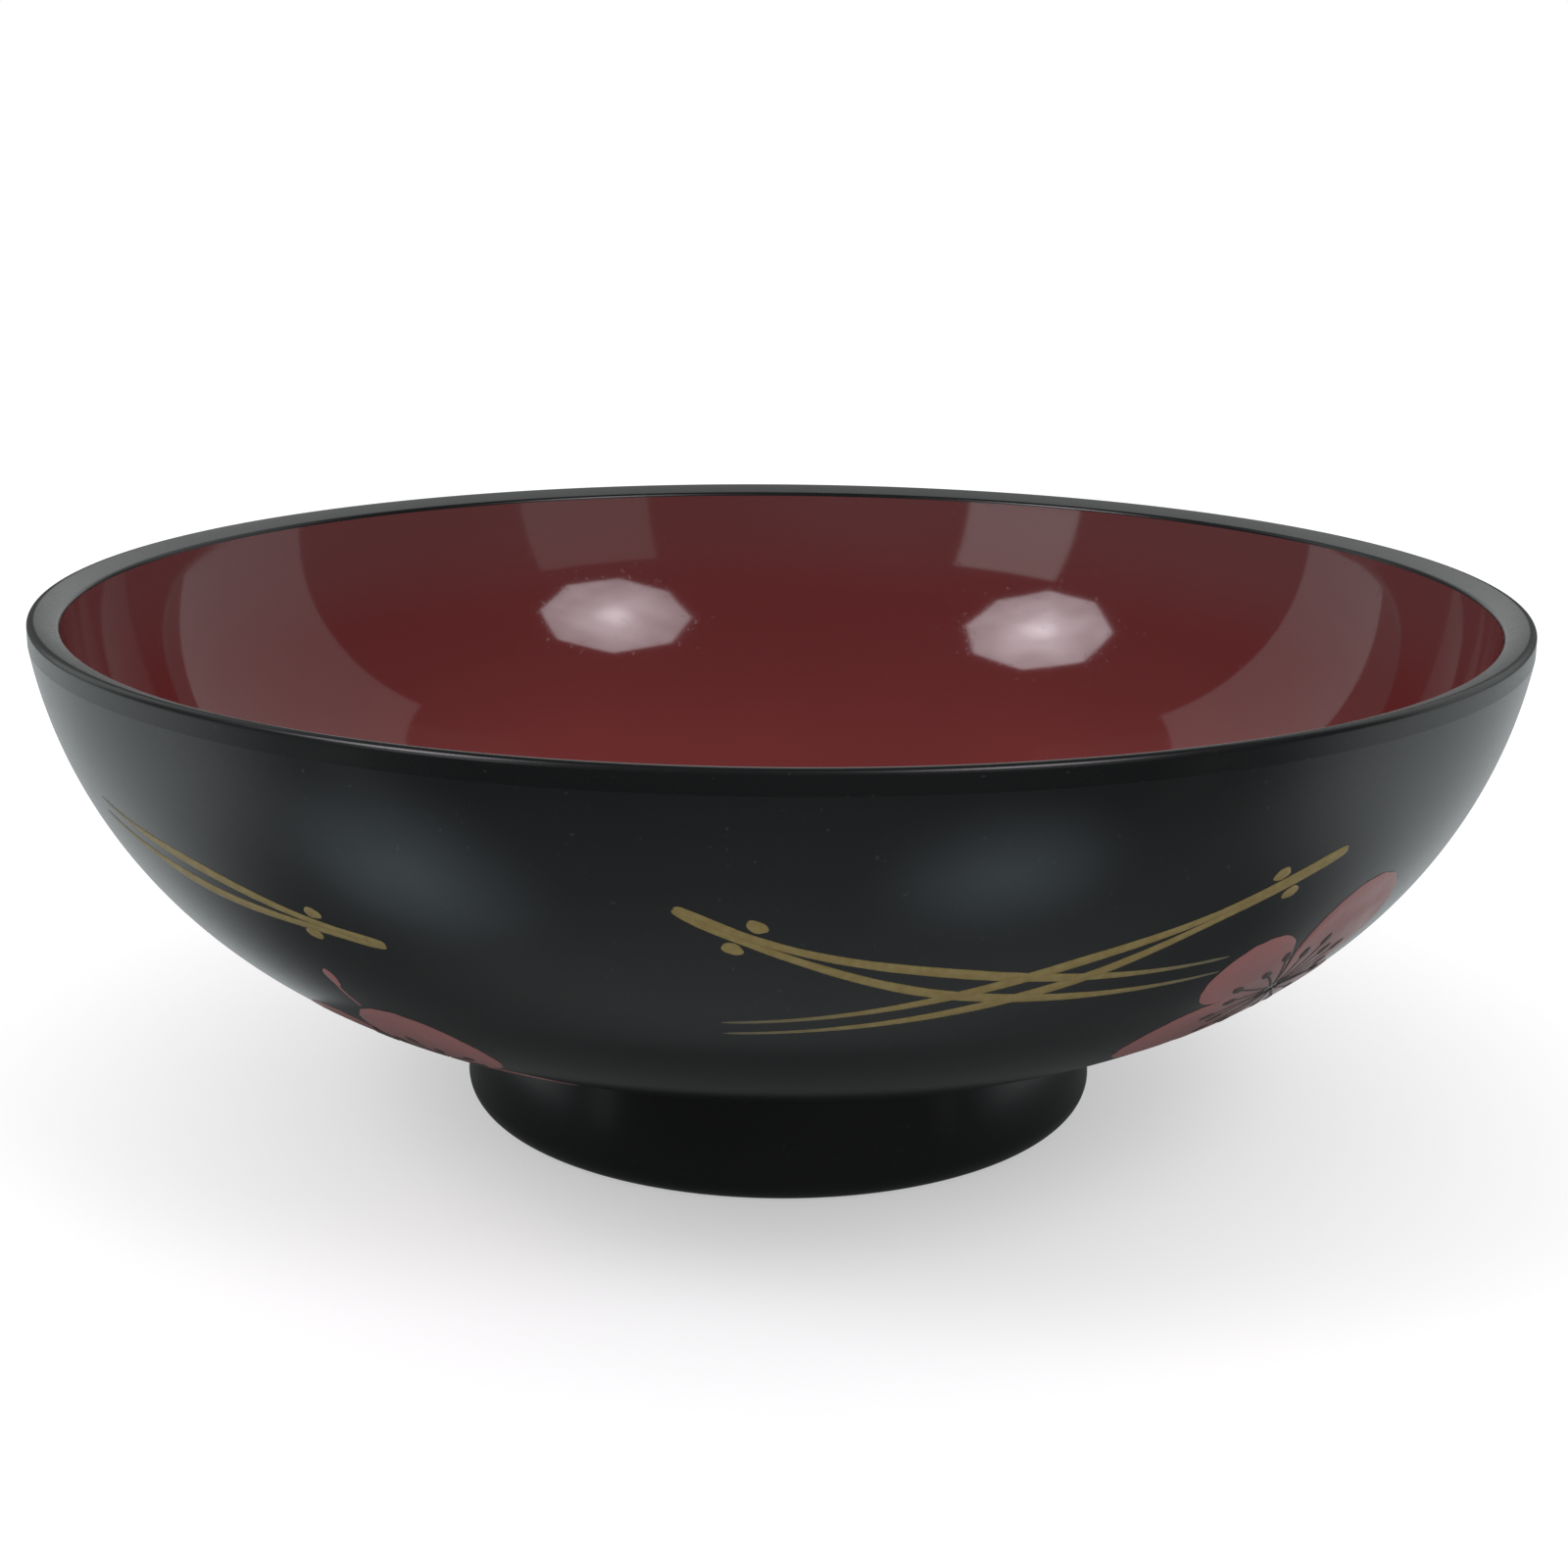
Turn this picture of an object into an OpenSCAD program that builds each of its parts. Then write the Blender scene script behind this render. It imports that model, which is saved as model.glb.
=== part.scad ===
// Footed lacquer serving bowl: a turned wooden bowl on a separate glued foot ring, coated red inside
// and black outside, with gold pine needles and dusky red plum blossoms painted on the black.
// Millimetres, +Z up. The origin is the centre of the bearing circle that the foot stands on.

/* [Bowl] */
// Widest diameter, over the lip
bowl_d = 240; // [200:1:280]
// Overall height, from the foot's bearing face to the top of the lip
bowl_h = 87; // [78:1:104]
// Radius of the one arc that the outside of the bowl follows from foot to lip
side_r = 73.5; // [70:0.5:88]
// Thickness of the finished wall, lacquer included
wall_t = 5; // [4:0.1:6.5]

/* [Lip] */
// Height of the upright band around the outside of the lip
lip_h = 3.4; // [2.6:0.1:5]
// How far the inner edge of the lip sits below its outer edge
lip_drop = 1.1; // [0.4:0.1:1.5]
// Radius of both edges of the lip
lip_round = 0.9; // [0.6:0.1:1.2]

/* [Foot] */
// Height of the foot, up to the underside of the bowl beside it
foot_h = 21; // [12:0.5:26]
// Diameter of the foot where it is widest
foot_d = 107; // [90:1:125]
// How far the side of the foot leans in towards the bowl, in degrees
foot_lean = 4.5; // [0:0.5:8]
// Thickness of the finished foot
foot_t = 7; // [6.5:0.1:9]
// Radius of the outer bottom edge of the foot
foot_round = 4; // [2:0.1:4.5]
// Radius of the inner bottom edge of the foot
foot_in_round = 1.2; // [0.6:0.1:1.6]

/* [Foot joint] */
// Width of the tongue on the foot ring
tongue_t = 3; // [2:0.1:3.6]
// How far the tongue stands above the foot's shoulder at the middle of the tongue
tongue_h = 1.8; // [1:0.1:2.2]
// Glue gap on each side and over the top of the tongue
glue_gap = 0.1; // [0.05:0.05:0.3]

/* [Lacquer] */
// Thickness of the lacquer, ground coat included
coat_t = 0.3; // [0.2:0.05:0.5]

/* [Painting] */
// Thickness of the painted film; the widths and lengths below are for a bowl of 240 and grow with it
film_t = 0.12; // [0.05:0.01:0.2]
// Width of a sprig's stem
stem_w = 2; // [1:0.1:2.6]
// Width of a pine needle at its widest, past the fork
needle_w = 1.6; // [0.8:0.1:2]
// Width of a pine needle at its tip
needle_tip_w = 0.5; // [0.3:0.1:0.8]
// Length of one of the two buds beside a stem
dot_l = 2.8; // [1.5:0.1:3.5]
// Width of one of the two buds beside a stem
dot_w = 1.9; // [1:0.1:2.5]
// Radius of the bare spot at the centre of a blossom
eye_r = 1.6; // [1:0.1:2.5]
// Stamens in a blossom
stamens = 18; // [12:1:24]
// Reach of the longest stamens from the centre
stamen_l = 13; // [9:0.5:14]
// Width of a stamen's thread
thread_w = 0.45; // [0.25:0.05:0.6]
// Length of the dab at the end of a stamen
anther_l = 2.6; // [1.2:0.1:3]
// Width of the dab at the end of a stamen
anther_w = 1.8; // [0.8:0.1:2.2]

/* [Hidden] */
$fn = 144;
lip_r = bowl_d / 2;
lip_z = bowl_h - lip_h;
foot_r = foot_d / 2;
foot_bore_r = foot_r - foot_t;

// The foot's outer line touches the bottom edge's arc and leans in by foot_lean
foot_edge = [foot_r - foot_round, foot_round];
foot_top_r = foot_edge.x + (foot_round - sin(foot_lean) * (foot_h - foot_edge.y)) / cos(foot_lean);

// The outside arc has the radius side_r and passes through the foot's top and the lip's lower corner
side_from = [foot_top_r, foot_h];
side_to = [lip_r, lip_z];
side_half = norm(side_to - side_from) / 2;
side_dir = (side_to - side_from) / (2 * side_half);
arc = (side_from + side_to) / 2 + sqrt(side_r * side_r - side_half * side_half) * [-side_dir.y, side_dir.x];
floor_z = arc.y - side_r;
hollow_r = side_r - wall_t;

// Centres of the lip's two rounded edges; the inner one is tangent to the hollow
edge_out = [lip_r - lip_round, bowl_h - lip_round];
edge_in_z = bowl_h - lip_drop - lip_round;
edge_in = [arc.x + sqrt(pow(hollow_r + lip_round, 2) - pow(arc.y - edge_in_z, 2)), edge_in_z];
edge_in_dir = (edge_in - arc) / norm(edge_in - arc);

// Slope of the wall at the foot and under the lip
foot_slope = asin((foot_top_r - arc.x) / side_r);
lip_slope = atan2(lip_r - arc.x, arc.y - lip_z);

tongue_r = (foot_top_r + foot_bore_r) / 2;
shoulder_z = arc.y - sqrt(pow(side_r - coat_t, 2) - pow(max(tongue_r - arc.x, 0), 2));

// The painting is laid out on a wall of this size and stretches with the real one: the radius of the
// arc's centre, the arc's radius, and the slope at the foot and under the lip
LAYOUT_X = 47.3;
LAYOUT_R = 73.5;
LAYOUT_SLOPE = [3.81, 81.6];
stretch = (lip_slope - foot_slope) / (LAYOUT_SLOPE[1] - LAYOUT_SLOPE[0]);

// Painted group: [azimuth, slope] in degrees. Azimuth turns from the front towards +X; slope is the
// angle of the wall from level.
// A sprig is [path of four control points, fork, spread, gap, its two buds as [along, side]]: its needles
// draw apart between fork and spread, which are shares of the path, to the gap in millimetres
SPRIG_LOW = [[[-6.5, 69], [5.5, 58], [20, 55], [33.5, 55.5]], 0.1, 0.5, 4.4, [[0.125, 2.5], [0.11, -2.2]]];
SPRIG_HIGH = [[[40.5, 69.5], [26, 62], [12, 52.5], [-4, 51.5]], 0.2, 0.5, 3.8, [[0.13, -2.2], [0.11, 2.3]]];
SPRIG_SIDE = [[[-27.5, 59.5], [-37, 61], [-46.5, 63], [-57, 67.5]], 0.12, 0.6, 3.8, [[0.2, -2.4], [0.22, 2]]];
BLOSSOMS = [[44.5, 45.5], [-36, 27.5]];
// A petal is [direction, distance of its centre, radius] from the middle of the blossom
PETALS = [[65, 13.7, 10.5], [146, 15.5, 7.5], [215, 14.4, 9.6], [288, 15.5, 8.2], [342, 14, 5.2]];
petal_gap = 1;    // degrees left bare on each side of a petal
hairline = 0.04;  // space between the two needles along a stem
short_stamen = 0.84;  // reach of every second stamen, as a share of the longest
BUD = [-35.8, 50.8];  // place, length, width and stalk of the plum bud
bud_l = 4.2;
bud_w = 1.9;
bud_stalk = 5.5;
stalk_in = 1.1;       // how far the stalk runs into the bud
stroke_top = 2 / 3;   // width of a stroke's top, as a share of its foot
dab_top = 0.75;       // the same for a dab

STEPS = 20;       // rings along a needle
PETAL_STEPS = 12; // points along a petal's edge
RINGS = 3;        // rings from a petal's foot to its edge
DOT_STEPS = 12;   // points round a bud or a dab
BACK = 180;       // turn of the second painted group, in degrees
lap = 1;          // how far a section runs on past the edge where it is cut or joined
crest = 0.002;    // how far the lip's slope lies under the line that touches both its rounded edges

BLACK = [0.1, 0.11, 0.12];
RED = [0.38, 0.17, 0.17];
WOOD = [0.72, 0.55, 0.36];
GOLD = [0.6, 0.5, 0.3];
PETAL = [0.52, 0.3, 0.3];
STAMEN = [0.28, 0.2, 0.2];

// ---- Sections of the bowl, drawn beside the axis; inset moves each outline into the wall ----

module bowl_section(inset) {
    intersection() {
        square([lip_r, lip_z]);
        union() {
            translate(arc) circle(side_r - inset);
            translate([0, floor_z + inset]) square([max(arc.x, 0), side_r]);
        }
    }
}

module lip_section(inset) {
    r = lip_round - inset;
    dir = (edge_out - edge_in) / norm(edge_out - edge_in);
    up = (r - crest) * [-dir.y, dir.x];
    below = arc + (hollow_r - lap) * edge_in_dir;
    polygon([
        [below.x - lap, lip_z - lap], [edge_out.x, lip_z - lap], [edge_out.x, lip_z], [lip_r - inset, lip_z],
        [lip_r - inset, edge_out.y], edge_out + up, edge_in + up, edge_in, below]);
    translate(edge_out) circle(r);
    translate(edge_in) circle(r);
}

module hollow_section(inset) {
    intersection() {
        square([lip_r, bowl_h + lap]);
        union() {
            translate(arc) circle(hollow_r + inset);
            translate([0, arc.y - hollow_r - inset]) square([max(arc.x, 0), 2 * hollow_r]);
        }
    }
}

module shell_section(inset) {
    difference() {
        union() {
            bowl_section(inset);
            lip_section(inset);
        }
        hollow_section(inset);
    }
}

module skin_section() {
    difference() {
        shell_section(0);
        shell_section(coat_t);
    }
}

// Where the lacquer is red: the hollow's side of the wall, up to where the lip's inner edge starts
module red_zone() {
    intersection() {
        hollow_section(coat_t);
        polygon([[0, 0], [2 * lip_r, 0], arc + 2 * side_r * edge_in_dir, arc, [0, arc.y]]);
    }
}

module foot_section(inset) {
    r = foot_round - inset;
    in_r = foot_in_round - inset;
    out = [cos(foot_lean), sin(foot_lean)];
    touch = foot_edge + r * out;
    rise = foot_h + wall_t / 2 - touch.y;
    bore = foot_bore_r + inset;
    in_edge = [foot_bore_r + foot_in_round, foot_in_round];
    polygon([
        [bore, in_edge.y], in_edge, [in_edge.x, inset], [foot_edge.x, inset], foot_edge, touch,
        touch + rise * [-tan(foot_lean), 1], [bore, touch.y + rise]]);
    translate(foot_edge) intersection() {
        circle(r);
        translate([0, -r]) square([r, 2 * r]);
    }
    translate(in_edge) intersection() {
        circle(in_r);
        translate([-in_r, -in_r]) square(in_r);
    }
}

module tongue_section(gap) {
    translate([tongue_r - tongue_t / 2 - gap, shoulder_z - lap])
        square([tongue_t + 2 * gap, lap + tongue_h + gap]);
}

// ---- Wooden pieces ----

module bowl_core() {
    color(WOOD) rotate_extrude() difference() {
        shell_section(coat_t);
        tongue_section(glue_gap);
    }
}

module foot_ring() {
    color(WOOD) rotate_extrude() {
        difference() {
            foot_section(coat_t);
            bowl_section(coat_t);
        }
        tongue_section(0);
    }
}

// ---- Lacquer coats ----

module inner_red_coat() {
    color(RED) rotate_extrude() intersection() {
        skin_section();
        red_zone();
    }
}

// The black coat runs on from the foot up over the lip
module outer_black_coat() {
    color(BLACK) rotate_extrude() {
        difference() {
            skin_section();
            hollow_section(coat_t);
            translate([0, lip_z]) square([lip_r, bowl_h]);
            square([foot_bore_r, bowl_h]);
            foot_section(0);
        }
        difference() {
            lip_section(0);
            lip_section(coat_t);
            square([lip_r, lip_z]);
        }
    }
}

module well_black_coat() {
    color(BLACK) rotate_extrude() difference() {
        intersection() {
            skin_section();
            square([foot_bore_r, bowl_h]);
        }
        hollow_section(coat_t);
    }
}

module foot_black_coat() {
    color(BLACK) rotate_extrude() difference() {
        foot_section(0);
        foot_section(coat_t);
        bowl_section(coat_t);
    }
}

// ---- Painting: points on the outside of the bowl ----

// A point at an azimuth and slope, lifted off the lacquer
function on_bowl(at, lift) =
    let (
        s = side_r + lift,
        slope = foot_slope + (at[1] - LAYOUT_SLOPE[0]) * stretch,
        r = arc.x + s * sin(slope))
    [r * sin(at[0]), -r * cos(at[0]), arc.y - s * cos(slope)];

// The azimuth and slope reached by going uv millimetres round and up the layout from a place
function step_on(at, uv) =
    let (slope = at[1] + uv[1] / LAYOUT_R * 180 / PI, r = LAYOUT_X + LAYOUT_R * sin(slope))
    [at[0] + uv[0] / r * 180 / PI, slope];

// Millimetres round and up the layout for one degree of azimuth and of slope
function scale_at(at) = [(LAYOUT_X + LAYOUT_R * sin(at[1])) * PI / 180, LAYOUT_R * PI / 180];

function bezier(p, t) =
    pow(1 - t, 3) * p[0] + 3 * t * pow(1 - t, 2) * p[1] + 3 * t * t * (1 - t) * p[2] + pow(t, 3) * p[3];

function bezier_dir(p, t) =
    let (
        d = 3 * (pow(1 - t, 2) * (p[1] - p[0]) + 2 * t * (1 - t) * (p[2] - p[1]) + t * t * (p[3] - p[2])),
        s = scale_at(bezier(p, t)), m = [d[0] * s[0], d[1] * s[1]])
    m / norm(m);

function ease(t) = let (c = min(max(t, 0), 1)) c * c * (3 - 2 * c);

// Place on a sprig: along its path and a distance to the side, to the left of its direction
function on_sprig(sprig, t, side) =
    let (d = bezier_dir(sprig[0], t))
    step_on(bezier(sprig[0], t), side * [-d[1], d[0]]);

// Closes a tube from rings of four points each
module tube(rings) {
    last = len(rings) - 1;
    polyhedron(
        [for (ring = rings) each ring],
        concat(
            [[3, 2, 1, 0], [for (j = [0:3]) last * 4 + j]],
            [for (i = [0:last - 1], j = [0:3]) let (a = i * 4 + j, b = i * 4 + (j + 1) % 4)
                each [[a, b, b + 4], [a, b + 4, a + 4]]]));
}

// Ring across a stroke: two points on the lacquer and two narrower ones on top of the film
function stroke_ring(at, dir, w, base, top) =
    let (n = [-dir[1], dir[0]])
    [on_bowl(step_on(at, w / 2 * n), base), on_bowl(step_on(at, -w / 2 * n), base),
     on_bowl(step_on(at, -w / 2 * stroke_top * n), top), on_bowl(step_on(at, w / 2 * stroke_top * n), top)];

// A flat dab: an outline given by a list of places, filled from its middle
module dab(middle, edge, base, top) {
    n = len(edge);
    polyhedron(
        concat(
            [on_bowl(middle, base), on_bowl(middle, top)],
            [for (e = edge) on_bowl(e, base)],
            [for (e = edge) on_bowl(middle + dab_top * (e - middle), top)]),
        [for (i = [0:n - 1]) let (k = (i + 1) % n) each [
            [0, 2 + i, 2 + k], [2 + i, 2 + n + k, 2 + k], [2 + i, 2 + n + i, 2 + n + k], [1, 2 + n + k, 2 + n + i]]]);
}

function oval(middle, l, w, turn) =
    [for (i = [0:DOT_STEPS - 1]) let (a = 360 * i / DOT_STEPS, x = l / 2 * cos(a), y = w / 2 * sin(a))
        step_on(middle, [x * cos(turn) - y * sin(turn), x * sin(turn) + y * cos(turn)])];

// One needle of a pair; the two lie side by side as the stem and draw apart past the fork
module needle(sprig, way) {
    tube([for (i = [0:STEPS])
        let (
            t = i / STEPS,
            apart = ease((t - sprig[1]) / (sprig[2] - sprig[1])),
            w = t < sprig[2] ? (stem_w + (2 * needle_w - stem_w) * apart) / 2
                : needle_w + (needle_tip_w - needle_w) * ease((t - sprig[2]) / (1 - sprig[2])),
            side = way * (w + hairline + (sprig[3] - needle_w) * apart) / 2)
        stroke_ring(on_sprig(sprig, t, side), bezier_dir(sprig[0], t), w, 0, film_t)]);
}

module sprig_pair(sprig, turn) {
    color(GOLD) rotate([0, 0, turn]) {
        for (way = [-1, 1]) needle(sprig, way);
        for (dot = sprig[4]) {
            middle = on_sprig(sprig, dot[0], dot[1]);
            dir = bezier_dir(sprig[0], dot[0]);
            dab(middle, oval(middle, dot_l, dot_w, atan2(dir[1], dir[0])), 0, film_t);
        }
    }
}

// A petal is a teardrop: two straight sides from the blossom's middle, tangent to the petal's circle
module petal(blossom, shape) {
    half = asin(shape[2] / shape[1]) - petal_gap;
    outline = [for (i = [0:PETAL_STEPS])
        let (
            off = half * sin(180 * i / PETAL_STEPS - 90),
            reach = shape[1] * cos(off) + sqrt(max(pow(shape[2], 2) - pow(shape[1] * sin(off), 2), 0)))
        [shape[0] + off, reach]];
    wide = PETAL_STEPS + 1;
    place = function(o, s, lift)
        on_bowl(step_on(blossom, (eye_r + (o[1] - eye_r) * s) * [cos(o[0]), sin(o[0])]), lift);
    base = [for (j = [0:RINGS], o = outline) place(o, j / RINGS, 0)];
    top = [for (j = [0:RINGS], o = outline) place(o, j / RINGS, film_t)];
    m = len(base);
    rim = concat(
        [for (i = [0:PETAL_STEPS]) i],
        [for (j = [1:RINGS]) j * wide + PETAL_STEPS],
        [for (i = [PETAL_STEPS - 1:-1:0]) RINGS * wide + i],
        [for (j = [RINGS - 1:-1:1]) j * wide]);
    polyhedron(
        concat(base, top),
        concat(
            [for (j = [0:RINGS - 1], i = [0:PETAL_STEPS - 1])
                let (a = j * wide + i, b = a + wide) each [
                    [a, b + 1, a + 1], [a, b, b + 1],
                    [m + a, m + a + 1, m + b + 1], [m + a, m + b + 1, m + b]]],
            [for (i = [0:len(rim) - 1]) let (a = rim[i], b = rim[(i + 1) % len(rim)])
                each [[a, b, m + b], [a, m + b, m + a]]]));
}

module petals(blossom, turn) {
    color(PETAL) rotate([0, 0, turn]) for (shape = PETALS) petal(blossom, shape);
}

// Stamens lie on the petals: one stroke each, a thread that swells to a dab; every second one is shorter
module stamen_ring(blossom, turn) {
    color(STAMEN) rotate([0, 0, turn]) for (i = [0:stamens - 1]) {
        a = 360 * i / stamens;
        dir = [cos(a), sin(a)];
        reach = stamen_l * (i % 2 == 0 ? 1 : short_stamen);
        swell = reach - anther_l;
        tube([for (s = [[eye_r, thread_w], [swell / 2, thread_w], [swell, thread_w],
                [reach - anther_l / 2, anther_w], [reach, anther_w / 2]])
            stroke_ring(step_on(blossom, s[0] * dir), dir, s[1], film_t, 2 * film_t)]);
    }
}

module bud(turn) {
    low = step_on(BUD, [0, -bud_l / 2 - bud_stalk]);
    color(PETAL) rotate([0, 0, turn]) union() {
        dab(BUD, oval(BUD, bud_l, bud_w, 90), 0, film_t);
        tube([for (s = [0, 1])
            stroke_ring(step_on(low, [0, s * (bud_stalk + stalk_in)]), [0, 1], thread_w, 0, film_t)]);
    }
}

// ---- The painted groups: sprigs and blossoms at the front, and again at the back ----

module pine_sprig_low(turn) { sprig_pair(SPRIG_LOW, turn); }
module pine_sprig_high(turn) { sprig_pair(SPRIG_HIGH, turn); }
module pine_sprig_side(turn) { sprig_pair(SPRIG_SIDE, turn); }

bowl_core();
foot_ring();
inner_red_coat();
outer_black_coat();
foot_black_coat();
well_black_coat();
pine_sprig_low(0);  // pine_sprig_low_front
pine_sprig_high(0);  // pine_sprig_high_front
pine_sprig_side(0);  // pine_sprig_side_front
pine_sprig_low(BACK);  // pine_sprig_low_back
pine_sprig_high(BACK);  // pine_sprig_high_back
pine_sprig_side(BACK);  // pine_sprig_side_back
petals(BLOSSOMS[0], 0);  // plum_petals_right_front
petals(BLOSSOMS[1], 0);  // plum_petals_left_front
petals(BLOSSOMS[0], BACK);  // plum_petals_right_back
petals(BLOSSOMS[1], BACK);  // plum_petals_left_back
stamen_ring(BLOSSOMS[0], 0);  // plum_stamens_right_front
stamen_ring(BLOSSOMS[1], 0);  // plum_stamens_left_front
stamen_ring(BLOSSOMS[0], BACK);  // plum_stamens_right_back
stamen_ring(BLOSSOMS[1], BACK);  // plum_stamens_left_back
bud(0);  // plum_bud_front
bud(BACK);  // plum_bud_back
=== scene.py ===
import math

import bpy
import numpy as np
from mathutils import Matrix


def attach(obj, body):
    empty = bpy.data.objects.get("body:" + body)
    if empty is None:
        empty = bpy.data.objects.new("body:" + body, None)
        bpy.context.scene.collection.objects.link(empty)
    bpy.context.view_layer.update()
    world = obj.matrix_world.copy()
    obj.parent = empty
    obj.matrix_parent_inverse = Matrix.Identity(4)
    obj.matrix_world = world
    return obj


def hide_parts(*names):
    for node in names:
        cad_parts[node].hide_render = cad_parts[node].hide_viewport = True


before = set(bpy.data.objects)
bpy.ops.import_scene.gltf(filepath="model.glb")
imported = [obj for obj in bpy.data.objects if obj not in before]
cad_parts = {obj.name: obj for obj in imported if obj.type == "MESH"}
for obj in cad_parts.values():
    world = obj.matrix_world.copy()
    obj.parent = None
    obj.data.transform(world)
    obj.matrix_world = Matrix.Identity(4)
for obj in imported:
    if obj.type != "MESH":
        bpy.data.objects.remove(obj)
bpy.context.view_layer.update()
print("frame loaded:", len(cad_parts), "nodes")

mm = 0.001
rng = np.random.default_rng(24)

# The bowl's turned sections, in millimetres
bowlSet = {
    "lipRadius": 120.0, "height": 87.0, "lipBand": 3.4, "lipDrop": 1.1, "lipRound": 0.9,
    "sideRadius": 73.5, "wall": 5.0, "coat": 0.3,
    "footHeight": 21.0, "footRadius": 53.5, "footLean": 4.5, "footWall": 7.0,
    "footRound": 4.0, "footInRound": 1.2,
    "coatLap": 0.02, "wellLap": 0.25,   # how far the foot's coat runs into the body, outside and in the well
    "segments": 320,
}


def rotated(points, degrees):
    a = math.radians(degrees)
    turn = np.array([[math.cos(a), -math.sin(a), 0], [math.sin(a), math.cos(a), 0], [0, 0, 1]])
    return points @ turn.T


def meshPiece(name, points, faces, nodes, material, uv=None, sharp=32):
    # points in millimetres (n x 3), faces a list of index arrays; uv holds one pair for each point
    mesh = bpy.data.meshes.new(name)
    loops = np.concatenate([f.ravel() for f in faces]).astype(np.int32)
    sizes = np.concatenate([np.full(len(f), f.shape[1]) for f in faces]).astype(np.int32)
    mesh.vertices.add(len(points))
    mesh.vertices.foreach_set("co", (points * mm).astype(np.float32).ravel())
    mesh.loops.add(len(loops))
    mesh.loops.foreach_set("vertex_index", loops)
    mesh.polygons.add(len(sizes))
    mesh.polygons.foreach_set("loop_start", np.concatenate([[0], np.cumsum(sizes)[:-1]]).astype(np.int32))
    mesh.polygons.foreach_set("loop_total", sizes)
    mesh.update(calc_edges=True)
    if uv is not None:
        layer = mesh.uv_layers.new(name="brush")
        layer.data.foreach_set("uv", uv[loops].astype(np.float32).ravel())
    mesh.validate()
    mesh.shade_smooth()
    mesh.set_sharp_from_angle(angle=math.radians(sharp))
    mesh.materials.append(material)
    piece = bpy.data.objects.new(name, mesh)
    bpy.context.scene.collection.objects.link(piece)
    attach(piece, "root")
    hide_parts(*nodes)
    return piece


def arcLine(centre, radius, fromAngle, toAngle, count):
    # points on a circle: centre + radius * (cos a, sin a), with a from one angle to the other
    a = np.radians(np.linspace(fromAngle, toAngle, count))
    return np.stack([centre[0] + radius * np.cos(a), centre[1] + radius * np.sin(a)], axis=1)


def straight(a, b, count):
    t = np.linspace(0, 1, count)[:, None]
    return np.asarray(a) * (1 - t) + np.asarray(b) * t


def joined(*lines):
    # one outline from several, without the points that two of them share
    line = np.concatenate(lines)
    keep = np.concatenate([[True], np.linalg.norm(np.diff(line, axis=0), axis=1) > 1e-5])
    line = line[keep]
    return line[:-1] if np.linalg.norm(line[0] - line[-1]) < 1e-5 else line


def turned(outline, segments):
    # A surface of revolution: point(i, j) = (r_j cos t_i, r_j sin t_i, z_j), t_i round the axis and j along
    # the outline, which runs counter-clockwise. Ends on the axis close to one point each.
    t = np.linspace(0, 2 * np.pi, segments, endpoint=False)
    onAxis = outline[0, 0] < 1e-6
    ring = outline[1:-1] if onAxis else outline
    n = len(ring)
    points = np.stack([ring[:, 0] * np.cos(t)[:, None], ring[:, 0] * np.sin(t)[:, None],
                       np.broadcast_to(ring[:, 1], (segments, n))], axis=-1).reshape(-1, 3)
    i = np.arange(segments)[:, None]
    j = np.arange(n - 1 if onAxis else n)[None, :]
    a, b = i * n + j, (i + 1) % segments * n + j
    c, d = (i + 1) % segments * n + (j + 1) % n, i * n + (j + 1) % n
    faces = [np.stack([a, b, c, d], axis=-1).reshape(-1, 4)]
    if onAxis:
        low, high = len(points), len(points) + 1
        ends = np.array([[0, 0, outline[0, 1]], [0, 0, outline[-1, 1]]])
        points = np.concatenate([points, ends])
        i = np.arange(segments)
        k = (i + 1) % segments
        faces.append(np.stack([np.full(segments, low), k * n, i * n], axis=-1))
        faces.append(np.stack([np.full(segments, high), i * n + n - 1, k * n + n - 1], axis=-1))
    return points, faces


class Wire:
    # a socket; arithmetic on it adds Math nodes
    def __init__(self, kit, socket):
        self.kit, self.socket = kit, socket

    def math(self, operation, *values):
        return self.kit.add("ShaderNodeMath", {"operation": operation}, dict(enumerate(values)))

    def sine(self):
        return self.math("SINE", self)

    def __add__(self, other):
        return self.math("ADD", self, other)

    def __radd__(self, other):
        return self.math("ADD", other, self)

    def __sub__(self, other):
        return self.math("SUBTRACT", self, other)

    def __rsub__(self, other):
        return self.math("SUBTRACT", other, self)

    def __mul__(self, other):
        return self.math("MULTIPLY", self, other)

    def __rmul__(self, other):
        return self.math("MULTIPLY", other, self)

    def __pow__(self, other):
        return self.math("POWER", self, other)


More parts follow.
